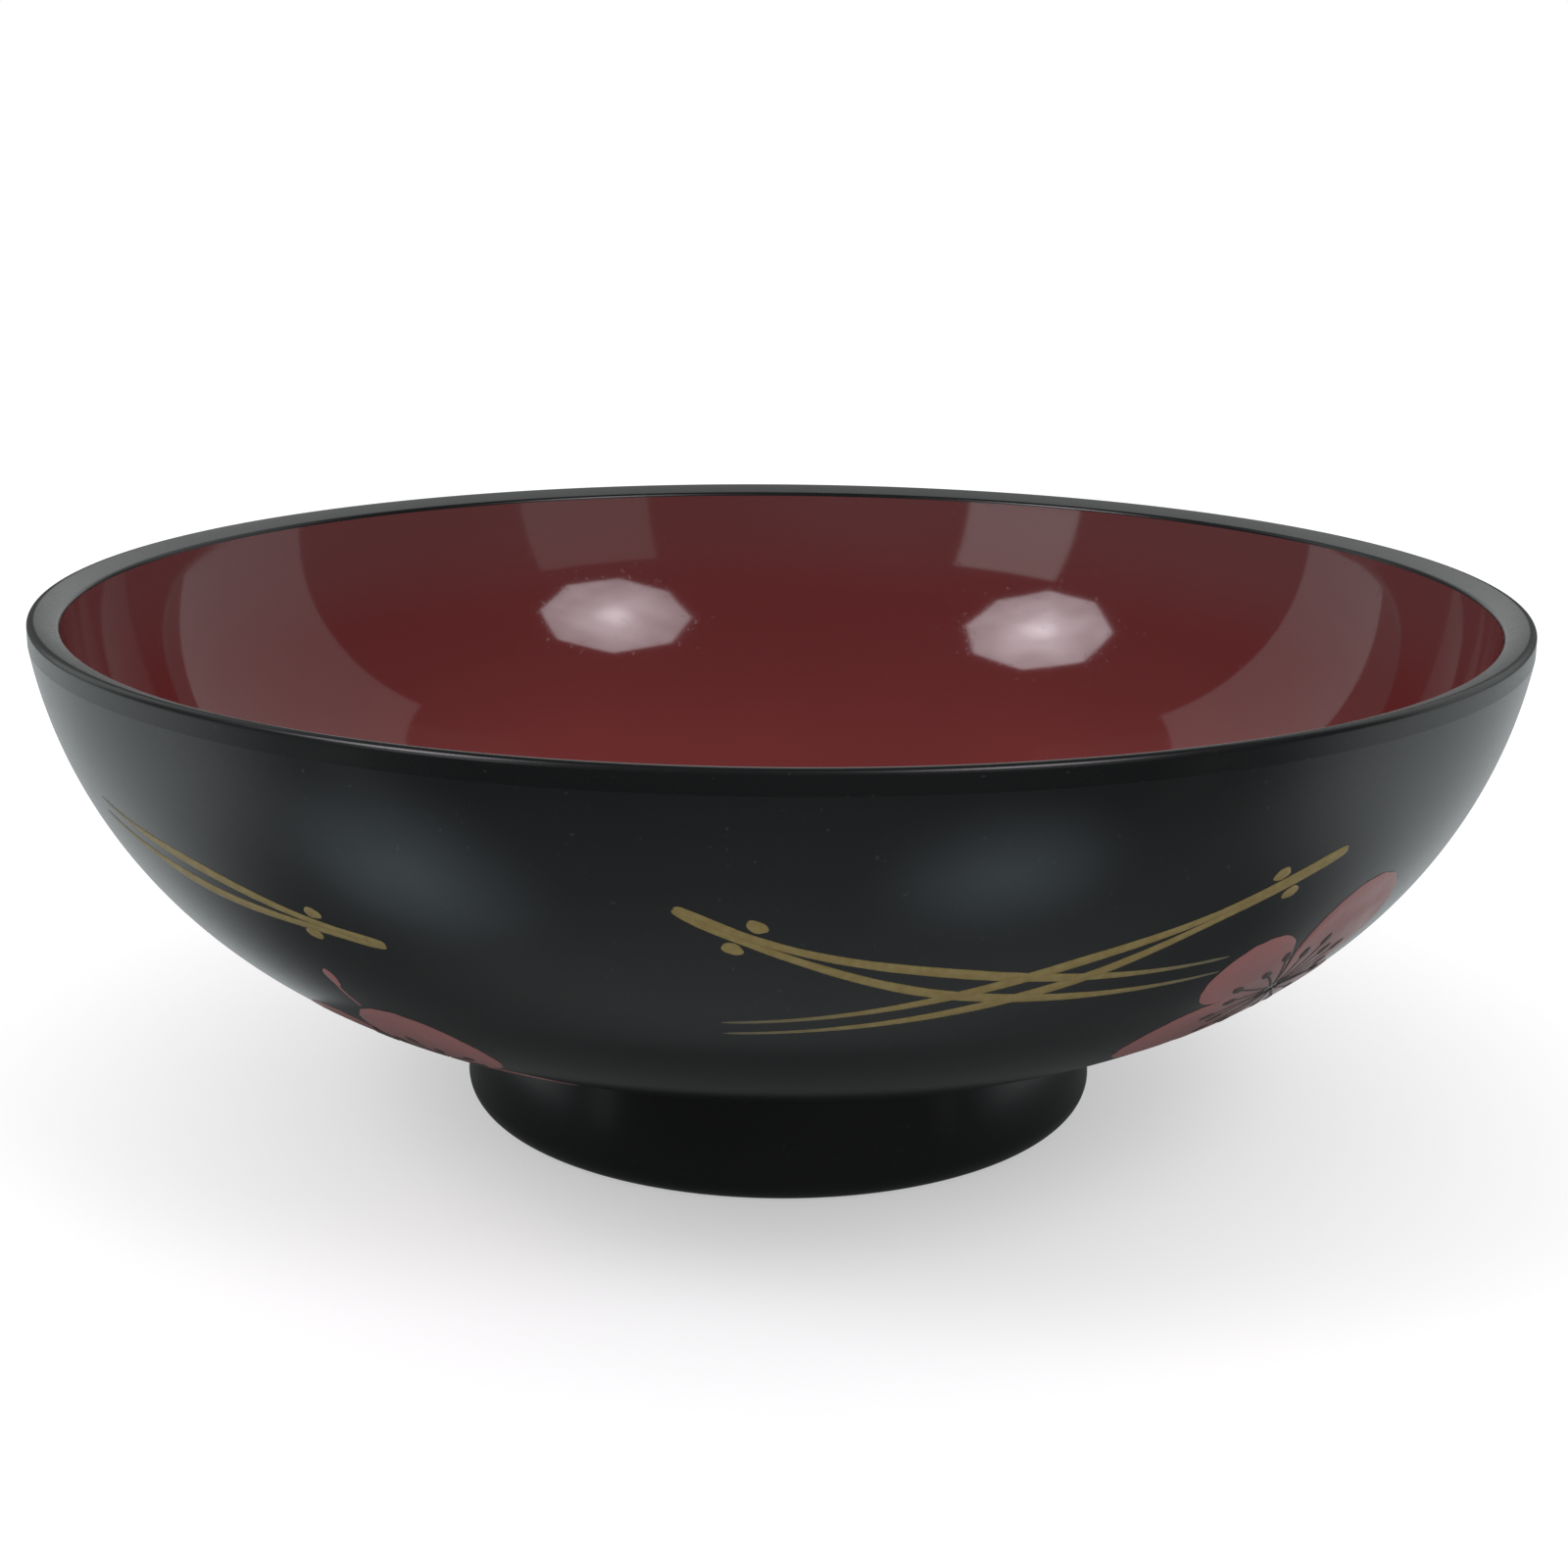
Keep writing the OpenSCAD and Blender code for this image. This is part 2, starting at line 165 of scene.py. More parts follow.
class Finish:
    # one procedural material: a Principled shader and the nodes that feed it
    def __init__(self, name):
        self.material = bpy.data.materials.new(name)
        self.material.use_nodes = True
        self.tree = self.material.node_tree
        self.tree.nodes.clear()
        self.output = self.tree.nodes.new("ShaderNodeOutputMaterial")
        self.shader = self.tree.nodes.new("ShaderNodeBsdfPrincipled")
        self.tree.links.new(self.shader.outputs[0], self.output.inputs["Surface"])

    def put(self, socket, value):
        if isinstance(value, Wire):
            self.tree.links.new(value.socket, socket)
        else:
            socket.default_value = value

    def add(self, kind, settings=None, inputs=None, out=0):
        node = self.tree.nodes.new(kind)
        for key, value in (settings or {}).items():
            setattr(node, key, value)
        for key, value in (inputs or {}).items():
            self.put(node.inputs[key], value)
        return Wire(self, node.outputs[out])

    def place(self):
        return self.add("ShaderNodeTexCoord", out="Object")

    def brush(self):
        return self.add("ShaderNodeUVMap", {"uv_map": "brush"})

    def split(self, vector):
        node = self.tree.nodes.new("ShaderNodeSeparateXYZ")
        self.put(node.inputs[0], vector)
        return [Wire(self, s) for s in node.outputs]

    def stretch(self, vector, scale):
        return self.add("ShaderNodeVectorMath", {"operation": "MULTIPLY"}, {0: vector, 1: scale})

    def noise(self, vector, scale, detail):
        return self.add("ShaderNodeTexNoise", None,
                        {"Vector": vector, "Scale": scale, "Detail": detail, "Roughness": 0.5})

    def band(self, value, low, high, toLow=0.0, toHigh=1.0):
        return self.add("ShaderNodeMapRange", {"interpolation_type": "SMOOTHSTEP"},
                        {0: value, 1: low, 2: high, 3: toLow, 4: toHigh})

    def blend(self, factor, a, b):
        return self.add("ShaderNodeMix", {"data_type": "RGBA"}, {0: factor, 6: a, 7: b}, out=2)

    def bump(self, height):
        # height is in metres
        return self.add("ShaderNodeBump", None, {"Height": height, "Distance": 1.0, "Strength": 1.0})

    def done(self, **sockets):
        for key, value in sockets.items():
            self.put(self.shader.inputs[key.replace("_", " ")], value)
        return self.material


def rgb(r, g, b):
    return (r, g, b, 1.0)


# Lacquers and paints. Scales count a pattern's features in a metre; waves, grooves and grains are heights in
# metres, and bands are distances from the axis in metres.
redSet = {
    # painted light: 'middle' is a lighter red on the bowl's floor, where more light falls, fading to 'wall'
    # up the sides
    "wall": rgb(0.103, 0.0152, 0.0155), "middle": rgb(0.132, 0.0215, 0.0205), "litMiddleBand": (0.084, 0.109),
    # painted reflection: 'rim' is a greyer red near the lip, standing for the sheen mirrored there
    "rim": rgb(0.108, 0.0340, 0.0345), "rimReflectionBand": (0.108, 0.117),
    "cloud": rgb(0.094, 0.0130, 0.0132), "cloudScale": 14.0, "cloudShare": 0.35,
    "gloss": 0.045, "speckScale": 900.0, "speckGloss": 0.12, "cloudGloss": 0.02,
    "wave": 0.00012, "waveScale": 9.0, "ringWave": 0.000012, "ringPitch": 0.011, "ringBand": (0.015, 0.075),
}


def redLacquer():
    kit = Finish("red_lacquer")
    t = redSet
    at = kit.place()
    x, y, _ = kit.split(at)
    radius = (x * x + y * y) ** 0.5
    cloud = kit.noise(at, t["cloudScale"], 2.0)
    # painted light: lighter red on the floor in the middle, where the light falls most
    colour = kit.blend(kit.band(radius, *t["litMiddleBand"]), t["middle"], t["wall"])
    # painted reflection: the red turns greyer near the rim
    colour = kit.blend(kit.band(radius, *t["rimReflectionBand"]), colour, t["rim"])
    colour = kit.blend(kit.band(cloud, 0.50, 0.75) * t["cloudShare"], colour, t["cloud"])
    rings = (radius * (2 * math.pi / t["ringPitch"])).sine()
    settle = kit.band(radius, *t["ringBand"], 1.0, 0.1)
    wave = kit.noise(at, t["waveScale"], 1.0)
    height = wave * t["wave"] + rings * settle * t["ringWave"]
    speck = kit.noise(at, t["speckScale"], 1.0)
    gloss = t["gloss"] + kit.band(speck, 0.62, 0.8, 0.0, t["speckGloss"])
    gloss = gloss + kit.band(cloud, 0.3, 0.7, 0.0, t["cloudGloss"])
    return kit.done(Base_Color=colour, Roughness=gloss, IOR=1.52, Specular_IOR_Level=0.5,
                    Normal=kit.bump(height))


blackSet = {
    "deep": rgb(0.0026, 0.0028, 0.0031), "worn": rgb(0.0040, 0.0044, 0.0047), "cloudScale": 18.0,
    "gloss": 0.21, "glossSpread": 0.03, "lipGloss": 0.24, "lipSpread": 0.05,
    "grainScale": 420.0, "grainStretch": (1.0, 1.0, 2.5), "grainShare": 0.4,
    "dust": rgb(0.03, 0.034, 0.034), "dustScale": 1500.0, "dustShare": 0.3,
    "wave": 0.00006, "waveScale": 11.0,
}


def blackLacquer(name, gloss, spread):
    kit = Finish(name)
    t = blackSet
    at = kit.place()
    cloud = kit.noise(at, t["cloudScale"], 3.0)
    grain = kit.noise(kit.stretch(at, t["grainStretch"]), t["grainScale"], 2.0)
    colour = kit.blend(kit.band(cloud, 0.35, 0.7), t["deep"], t["worn"])
    dust = kit.band(kit.noise(at, t["dustScale"], 0.0), 0.80, 0.84)
    colour = kit.blend(dust * t["dustShare"], colour, t["dust"])
    shine = gloss + kit.band(cloud, 0.3, 0.7, 0.0, spread)
    shine = shine + kit.band(grain, 0.4, 0.75, 0.0, spread * t["grainShare"])
    wave = kit.noise(at, t["waveScale"], 1.0)
    return kit.done(Base_Color=colour, Roughness=shine, IOR=1.52, Specular_IOR_Level=0.5,
                    Normal=kit.bump(wave * t["wave"]))


woodSet = {
    "light": rgb(0.52, 0.36, 0.20), "dark": rgb(0.30, 0.18, 0.09),
    "heart": 0.3, "years": 900.0, "yearShare": 0.7, "drift": 0.004, "driftScale": 30.0,
    "poreScale": 900.0, "poreShare": 0.5, "poreDepth": 0.00006, "rough": 0.62,
}


def turnedWood():
    # year rings about a line "heart" metres below the bowl; the grain runs along y
    kit = Finish("turned_wood")
    t = woodSet
    at = kit.place()
    x, _, z = kit.split(at)
    drift = kit.noise(kit.stretch(at, (1.0, 0.12, 1.0)), t["driftScale"], 3.0)
    across = (x * x + (z + t["heart"]) * (z + t["heart"])) ** 0.5 + drift * t["drift"]
    years = kit.band((across * t["years"]).sine(), -0.4, 1.0)
    pores = kit.band(kit.noise(kit.stretch(at, (1.0, 0.06, 1.0)), t["poreScale"], 1.0), 0.62, 0.72)
    colour = kit.blend(years * t["yearShare"], t["light"], t["dark"])
    colour = kit.blend(pores * t["poreShare"], colour, t["dark"])
    return kit.done(Base_Color=colour, Roughness=t["rough"] + pores * 0.2,
                    Normal=kit.bump(pores * -t["poreDepth"]))


goldSet = {
    "rich": rgb(0.172, 0.128, 0.040), "pale": rgb(0.200, 0.156, 0.056), "thin": rgb(0.060, 0.062, 0.044),
    "metal": 0.30, "rough": 0.41, "mottleScale": 700.0, "mottle": 0.000010,
    "bristleStretch": (9.0, 14.0, 1.0), "bristle": 0.000012, "dryFrom": 0.78, "dryTo": 1.12, "dryShare": 0.85,
}


def goldPaint():
    # the brush's own map: u runs along the stroke, v across it
    kit = Finish("gold_paint")
    t = goldSet
    u, _, _ = kit.split(kit.brush())
    mottle = kit.noise(kit.place(), t["mottleScale"], 3.0)
    bristle = kit.noise(kit.stretch(kit.brush(), t["bristleStretch"]), 3.0, 2.0)
    colour = kit.blend(kit.band(mottle, 0.35, 0.7), t["rich"], t["pale"])
    runDry = kit.band(u + bristle * 0.2, t["dryFrom"], t["dryTo"])
    colour = kit.blend(runDry * t["dryShare"], colour, t["thin"])
    rough = t["rough"] + kit.band(bristle, 0.35, 0.7, -0.03, 0.05)
    return kit.done(Base_Color=colour, Roughness=rough, Metallic=t["metal"] - runDry * 0.2,
                    Normal=kit.bump(bristle * t["bristle"] + mottle * t["mottle"]))


plumSet = {
    "full": rgb(0.190, 0.075, 0.072), "thin": rgb(0.120, 0.055, 0.054), "rough": 0.34,
    "cloudScale": 160.0, "mottleScale": 1100.0, "mottle": 0.00002,
}


def plumPaint():
    # u runs from the blossom's middle to the petal's edge, v across the petal
    kit = Finish("plum_paint")
    t = plumSet
    at = kit.place()
    u, _, _ = kit.split(kit.brush())
    cloud = kit.noise(at, t["cloudScale"], 3.0)
    mottle = kit.noise(at, t["mottleScale"], 2.0)
    cover = kit.band(u, 0.1, 0.9, 0.25, 1.0) * kit.band(cloud, 0.25, 0.7, 0.7, 1.0)
    colour = kit.blend(cover, t["thin"], t["full"])
    rough = t["rough"] + kit.band(cloud, 0.3, 0.7, -0.04, 0.08)
    return kit.done(Base_Color=colour, Roughness=rough, IOR=1.5, Normal=kit.bump(mottle * t["mottle"]))


stamenSet = {
    "thread": rgb(0.030, 0.020, 0.019), "anther": rgb(0.045, 0.032, 0.026),
    "antherFrom": 0.7, "antherTo": 0.9, "rough": 0.4, "mottleScale": 900.0, "mottle": 0.00003,
}


def stamenPaint():
    kit = Finish("stamen_paint")
    t = stamenSet
    u, _, _ = kit.split(kit.brush())
    mottle = kit.noise(kit.place(), t["mottleScale"], 2.0)
    tip = kit.band(u, t["antherFrom"], t["antherTo"]) * kit.band(mottle, 0.3, 0.6)
    return kit.done(Base_Color=kit.blend(tip, t["thread"], t["anther"]), Roughness=t["rough"] + mottle * 0.15,
                    Normal=kit.bump(mottle * t["mottle"]))


red, gold, plum, stamen, wood = redLacquer(), goldPaint(), plumPaint(), stamenPaint(), turnedWood()
black = blackLacquer("black_lacquer", blackSet["gloss"], blackSet["glossSpread"])
lipBlack = blackLacquer("black_lacquer_lip", blackSet["lipGloss"], blackSet["lipSpread"])
print("materials made")

# Lines that the turned sections share: the foot's edges, the body's arc and the lip's two rounded edges
s = bowlSet
lipR, lipZ, coat = s["lipRadius"], s["height"] - s["lipBand"], s["coat"]
boreR = s["footRadius"] - s["footWall"]
lean = math.radians(s["footLean"])
footEdge = np.array([s["footRadius"] - s["footRound"], s["footRound"]])
footTop = footEdge[0] + (s["footRound"] - math.sin(lean) * (s["footHeight"] - footEdge[1])) / math.cos(lean)
chordA, chordB = np.array([footTop, s["footHeight"]]), np.array([lipR, lipZ])
half = np.linalg.norm(chordB - chordA) / 2
along = (chordB - chordA) / (2 * half)
arc = (chordA + chordB) / 2 + math.sqrt(s["sideRadius"] ** 2 - half ** 2) * np.array([-along[1], along[0]])
hollowR = s["sideRadius"] - s["wall"]
edgeOut = np.array([lipR - s["lipRound"], s["height"] - s["lipRound"]])
edgeInZ = s["height"] - s["lipDrop"] - s["lipRound"]
edgeIn = np.array([arc[0] + math.sqrt((hollowR + s["lipRound"]) ** 2 - (arc[1] - edgeInZ) ** 2), edgeInZ])
edgeInDir = (edgeIn - arc) / np.linalg.norm(edgeIn - arc)
tangentAngle = math.degrees(math.atan2(edgeInDir[1], edgeInDir[0]))
slopeDir = (edgeOut - edgeIn) / np.linalg.norm(edgeOut - edgeIn)
upAngle = math.degrees(math.atan2(slopeDir[0], -slopeDir[1]))


def angleAt(radius, z):
    # the angle on the body's arc, of that radius about its centre, where it reaches a height
    return math.degrees(math.asin((z - arc[1]) / radius))


# In the outlines, the last number of each stretch is how many points it has.
def innerOutline():
    # hidden side outwards along the wall, over the cut under the lip, back along the hollow to the middle
    back, front = hollowR + coat, hollowR
    return joined(
        straight([0, arc[1] - back], [arc[0], arc[1] - back], 8),
        arcLine(arc, back, -90, tangentAngle, 60),
        arcLine(arc, front, tangentAngle, -90, 150),
        straight([arc[0], arc[1] - front], [0, arc[1] - front], 40))


def lipOutline():
    # up the lip's band, over both rounded edges, and back inside the coat
    r, q = s["lipRound"], s["lipRound"] - coat
    return joined(
        straight([lipR - coat, lipZ], [lipR, lipZ], 2),
        straight([lipR, lipZ], [lipR, edgeOut[1]], 8),
        arcLine(edgeOut, r, 0, upAngle, 12),
        arcLine(edgeIn, r, upAngle, 180 + tangentAngle, 16),
        arcLine(edgeIn, q, 180 + tangentAngle, upAngle, 8),
        arcLine(edgeOut, q, upAngle, 0, 8))


def outerOutline():
    # up the body's side from the foot to the lip, and down its hidden side
    front, back = s["sideRadius"], s["sideRadius"] - coat
    topF, topB = angleAt(front, lipZ), angleAt(back, lipZ)
    lowF = angleAt(front, s["footHeight"])
    return joined(arcLine(arc, front, lowF, topF, 130), arcLine(arc, back, topB, lowF, 60))


def footOutline():
    # bore side down, round the two bottom edges, up the leaning side to the bowl, and back inside the coat
    q, inEdge = s["footRound"], np.array([boreR + s["footInRound"], s["footInRound"]])
    top = np.array([footTop, s["footHeight"]])
    touch = footEdge + q * np.array([math.cos(lean), math.sin(lean)])
    inTouch = footEdge + (q - coat) * np.array([math.cos(lean), math.sin(lean)])
    inTop = inTouch + (s["footHeight"] + s["coatLap"] - inTouch[1]) * np.array([-math.tan(lean), 1])
    roof = arc[1] - s["sideRadius"] + s["wellLap"]
    return joined(
        straight([boreR, roof], [boreR, inEdge[1]], 16),
        arcLine(inEdge, s["footInRound"], 180, 270, 10),
        straight([inEdge[0], 0], [footEdge[0], 0], 6),
        arcLine(footEdge, q, -90, s["footLean"], 24),
        straight(touch, top, 20),
        straight(inTop, inTouch, 8),
        arcLine(footEdge, q - coat, s["footLean"], -90, 10),
        straight([footEdge[0], coat], [inEdge[0], coat], 3),
        arcLine(inEdge, s["footInRound"] - coat, 270, 180, 5),
        straight([boreR + coat, inEdge[1]], [boreR + coat, roof], 6))


for name, outline, slot, node, material in (
        ("red_inside", innerOutline(), "red_lacquer", "inner_red_coat", red),
        ("lip_band", lipOutline(), "black_lacquer", "outer_black_coat", lipBlack),
        ("black_outside", outerOutline(), "black_lacquer", "outer_black_coat", black),
        ("foot_lacquer", footOutline(), "black_lacquer", "foot_black_coat", black)):
    points, faces = turned(outline, s["segments"])
    meshPiece(name, points, faces, [node], material)
for node, material in (("bowl_core", wood), ("foot_ring", wood), ("well_black_coat", black)):
    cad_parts[node].data.materials.clear()
    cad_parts[node].data.materials.append(material)
print("bowl turned")

# The painting. Places are (azimuth, slope) in degrees: azimuth from the front towards +X, slope of the wall
# from level. Lengths are in millimetres, and the film stands on the coat and sinks into it a little.
paintSet = {"film": 0.12, "sink": 0.05, "ends": (0.0, 1.0)}
sideR = s["sideRadius"]


def onBowl(at, lift):
    # the point of the body at an azimuth and slope, lifted along its normal
    az, slope = np.radians(at[..., 0]), np.radians(at[..., 1])
    r = arc[0] + (sideR + lift) * np.sin(slope)
    return np.stack([r * np.sin(az), -r * np.cos(az), arc[1] - (sideR + lift) * np.cos(slope)], axis=-1)


def stepOn(at, across, up):
    # the place reached by going across and up the wall by so many millimetres
    slope = at[..., 1] + np.degrees(up / sideR)
    r = arc[0] + sideR * np.sin(np.radians(slope))
    return np.stack([at[..., 0] + np.degrees(across / r), slope], axis=-1)


def ease(t):
    c = np.clip(t, 0, 1)
    return c * c * (3 - 2 * c)


def bezierPath(path, t):
    # a cubic bezier through azimuth and slope, and its direction in millimetres on the wall
    p = np.asarray(path, float)
    t = t[:, None]
    at = (1 - t) ** 3 * p[0] + 3 * t * (1 - t) ** 2 * p[1] + 3 * t * t * (1 - t) * p[2] + t ** 3 * p[3]
    d = 3 * ((1 - t) ** 2 * (p[1] - p[0]) + 2 * t * (1 - t) * (p[2] - p[1]) + t * t * (p[3] - p[2]))
    r = arc[0] + sideR * np.sin(np.radians(at[:, 1]))
    d = np.stack([d[:, 0] * np.radians(r), d[:, 1] * np.radians(sideR)], axis=1)
    return at, d / np.linalg.norm(d, axis=1, keepdims=True)


def wander(count, size, waves):
    # a smooth random line: a sum of a few sines with random phases
    t = np.linspace(0, 1, count)[:, None]
    phase, pace = rng.uniform(0, 2 * np.pi, waves), rng.uniform(2, 16, waves)
    return size * np.sin(2 * np.pi * pace * t + phase).mean(axis=1) * math.sqrt(waves)


def stroke(at, direction, width, base, film, uv, around=14):
    # A brush stroke: round each place of its path, a flat-bottomed lens whose half width is width / 2 and
    # whose top rises by film * sqrt(1 - v * v); its ends close to a point. uv is its range along u.
    phi = np.linspace(0, 2 * np.pi, around, endpoint=False)
    v = np.cos(phi)
    side = np.sin(phi)
    rise = base + np.where(side > 0, film * np.abs(side) ** 0.7, paintSet["sink"] * side)
    n = np.stack([-direction[:, 1], direction[:, 0]], axis=1)
    off = width[:, None] / 2 * v
    ring = stepOn(at[:, None, :], off * n[:, None, 0], off * n[:, None, 1])
    fat = np.clip(width / width.max() * 1.6, 0.15, 1)[:, None]
    points = onBowl(ring, base + (rise - base) * fat).reshape(-1, 3)
    count = len(at)
    i, j = np.arange(count - 1)[:, None], np.arange(around)[None, :]
    a, b = i * around + j, i * around + (j + 1) % around
    faces = [np.stack([a, b, b + around, a + around], axis=-1).reshape(-1, 4)]
    ends = onBowl(np.stack([at[0], at[-1]]), base)
    first, last = len(points), len(points) + 1
    j, k = np.arange(around), (np.arange(around) + 1) % around
    faces.append(np.stack([np.full(around, first), k, j], axis=-1))
    end = (count - 1) * around
    faces.append(np.stack([np.full(around, last), end + j, end + k], axis=-1))
    u = np.linspace(uv[0], uv[1], count)
    maps = np.stack([np.broadcast_to(u[:, None], (count, around)),
                     np.broadcast_to(v / 2 + 0.5, (count, around))], axis=-1).reshape(-1, 2)
    maps = np.concatenate([maps, [[uv[0], 0.5], [uv[1], 0.5]]])
    return np.concatenate([points, ends]), faces, maps


def dab(middle, length, width, turn, base, film, u, around=28, rings=6):
    # An oval dab: place = middle + s * (length/2 cos a, width/2 sin a) turned, top = film * sqrt(1 - s * s)
    a = np.linspace(0, 2 * np.pi, around, endpoint=False)
    wobble = 1 + 0.05 * np.sin(3 * a + rng.uniform(0, 6)) + 0.03 * np.sin(5 * a + rng.uniform(0, 6))
    x, y = length / 2 * np.cos(a) * wobble, width / 2 * np.sin(a) * wobble
    c, d = math.cos(math.radians(turn)), math.sin(math.radians(turn))
    rim = np.stack([x * c - y * d, x * d + y * c], axis=1)
    share = np.sin(np.linspace(0, np.pi / 2, rings + 1))[1:]
    top = stepOn(np.asarray(middle, float), share[:, None] * rim[:, 0], share[:, None] * rim[:, 1])
    lift = base + film * np.sqrt(np.clip(1 - share ** 2, 0, 1))
    lift[-1] = base - paintSet["sink"] * 0.2
    points = onBowl(top, lift[:, None]).reshape(-1, 3)
    mid = np.asarray([middle, middle], float)
    points = np.concatenate([points, onBowl(mid, np.array([base + film, base - paintSet["sink"]]))])
    peak, pit = len(points) - 2, len(points) - 1
    j, k = np.arange(around), (np.arange(around) + 1) % around
    i = np.arange(rings - 1)[:, None]
    faces = [np.stack([i * around + j, (i + 1) * around + j, (i + 1) * around + k, i * around + k],
                      axis=-1).reshape(-1, 4)]
    faces.append(np.stack([np.full(around, peak), j, k], axis=-1))
    end = (rings - 1) * around
    faces.append(np.stack([np.full(around, pit), end + k, end + j], axis=-1))
    maps = np.full((len(points), 2), 0.5)
    maps[:, 0] = u
    return points, faces, maps


# Each petal: its direction in degrees, then the distance of its middle and its radius
petalSet = {
    "blossoms": {"right": [44.5, 45.5], "left": [-36, 27.5]},
    "petals": [[65, 13.7, 10.5], [146, 15.5, 7.5], [215, 14.4, 9.6], [288, 15.5, 8.2], [342, 14, 5.2]],
    "eye": 1.6, "gap": 1.0, "wander": 0.10,   # bare middle, half the gap in degrees, the edge's unevenness
    "thin": 0.45, "outerSoft": 0.08, "innerSoft": 0.04, "sideSoft": 3.0,
}


def petalPatch(blossom, direction, distance, radius, film, around=72, rings=14):
    # A petal is a teardrop about the blossom's middle: at a bearing off its own direction its edge lies at
    # d cos(off) + sqrt(R^2 - d^2 sin^2(off)); the film is thickest inside and thins to the edge.
    t = petalSet
    most = math.asin(radius / distance) - math.radians(t["gap"])
    bearing = np.linspace(-np.pi / 2, np.pi / 2, around)
    off = most * np.sin(bearing)
    reach = distance * np.cos(off) + np.sqrt(np.clip(radius ** 2 - (distance * np.sin(off)) ** 2, 0, None))
    reach = reach + wander(around, t["wander"], 4)
    angle = math.radians(direction) + off
    share = np.linspace(0, 1, rings + 1)[:, None]
    dist = t["eye"] + (reach - t["eye"]) * share
    place = stepOn(np.asarray(blossom, float), dist * np.cos(angle), dist * np.sin(angle))
    across = np.minimum(np.arange(around), np.arange(around)[::-1]) / t["sideSoft"]
    edge = np.minimum(np.minimum((1 - share) / t["outerSoft"], share / t["innerSoft"]), across)
    lift = film * (t["thin"] + (1 - t["thin"]) * ease(edge))
    top = onBowl(place, lift).reshape(-1, 3)
    low = onBowl(place, np.full_like(lift, -paintSet["sink"])).reshape(-1, 3)
    m = len(top)
    i, j = np.arange(rings)[:, None], np.arange(around - 1)[None, :]
    a = i * around + j
    b = a + around
    quad = np.stack([a, b, b + 1, a + 1], axis=-1).reshape(-1, 4)
    faces = [quad, quad[:, ::-1] + m]
    rim = np.concatenate([np.arange(around), np.arange(2, rings + 1) * around - 1,
                          (rings + 1) * around - 1 - np.arange(around), np.arange(rings - 1, 0, -1) * around])
    nxt = np.roll(rim, -1)
    faces.append(np.stack([rim, nxt, nxt + m, rim + m], axis=-1))
    uv = np.stack([np.broadcast_to(share, (rings + 1, around)),
                   np.broadcast_to(np.linspace(0, 1, around), (rings + 1, around))], axis=-1).reshape(-1, 2)
    return np.concatenate([top, low]), faces, np.concatenate([uv, uv])


def gathered(parts, turn):
    # several closed shapes as one mesh, turned about the bowl's axis
    points, faces, maps, start = [], [], [], 0
    for p, f, m in parts:
        points.append(p)
        faces += [one + start for one in f]
        maps.append(m)
        start += len(p)
    return rotated(np.concatenate(points), turn), faces, np.concatenate(maps)


def endTaper(t, length, head, tail):
    # 1 along the stroke, falling as a quarter circle over head and tail millimetres at its ends
    a = np.clip(t * length / head, 0, 1)
    b = np.clip((1 - t) * length / tail, 0, 1)
    return np.sqrt(np.clip(1 - (1 - a) ** 2, 0.0004, 1)) * np.sqrt(np.clip(1 - (1 - b) ** 2, 0.0004, 1))


# Each sprig: its path's four points, where its needles begin to part and are fully apart, how far apart they
# then are, and its two buds as a share of the path and a distance across it
sprigSet = {
    "low": [[[-6.5, 69], [5.5, 58], [20, 55], [33.5, 55.5]], 0.1, 0.5, 4.4, [[0.125, 2.5], [0.11, -2.2]]],
    "high": [[[40.5, 69.5], [26, 62], [12, 52.5], [-4, 51.5]], 0.2, 0.5, 3.8, [[0.13, -2.2], [0.11, 2.3]]],
    "side": [[[-27.5, 59.5], [-37, 61], [-46.5, 63], [-57, 67.5]], 0.12, 0.6, 3.8, [[0.2, -2.4], [0.22, 2]]],
}
needleSet = {
    "stem": 2.0, "needle": 1.6, "tip": 0.5, "length": 62.0, "head": 0.9, "tail": 3.0,
    "fullness": 1.12, "wander": 0.03, "joined": 0.5, "apart": 0.96, "joinEnd": 0.05,
    "steps": 150, "headEnd": 0.012, "tailStart": 0.985, "budLength": 2.94, "budWidth": 1.938, "budMap": 0.1,
}


def sprigParts(sprig):
    # two needles side by side: offset = way * (width * share + (gap - needle) * apart) / 2 across the path
    path, fork, spread, gap, buds = sprig
    p = needleSet
    edge = np.concatenate([np.linspace(0, p["headEnd"], 7)[:-1],
                           np.linspace(p["headEnd"], p["tailStart"], p["steps"]),
                           np.linspace(p["tailStart"], 1, 7)[1:]])
    parts = []
    at, direction = bezierPath(path, edge)
    apart = ease((edge - fork) / (spread - fork))
    width = np.where(edge < spread, (p["stem"] + (2 * p["needle"] - p["stem"]) * apart) / 2,
                     p["needle"] + (p["tip"] - p["needle"]) * ease((edge - spread) / (1 - spread)))
    share = p["joined"] + (p["apart"] - p["joined"]) * ease(edge / p["joinEnd"])
    for way in (-1, 1):
        side = way * (width * share + (gap - p["needle"]) * apart) / 2
        centre = stepOn(at, -side * direction[:, 1], side * direction[:, 0])
        wide = width * p["fullness"] + wander(len(edge), p["wander"], 4)
        wide = wide * endTaper(edge, p["length"], p["head"], p["tail"])
        parts.append(stroke(centre, direction, wide, 0.0, paintSet["film"], paintSet["ends"]))
    for along, across in buds:
        spot, way = bezierPath(path, np.array([along]))
        middle = stepOn(spot, -across * way[:, 1], across * way[:, 0])[0]
        turn = math.degrees(math.atan2(way[0, 1], way[0, 0]))
        parts.append(dab(middle, p["budLength"], p["budWidth"], turn, 0.0, paintSet["film"], p["budMap"]))
    return parts


stamenShape = {
    "count": 18, "reach": 13.0, "shortReach": 0.84, "reachSpread": (0.96, 1.02), "bearingSpread": 0.05,
    "bend": 0.3, "thread": 0.45, "root": 1.15, "antherLength": 2.6, "antherWidth": 1.8, "end": 0.15,
    "filmShare": 0.9,
}


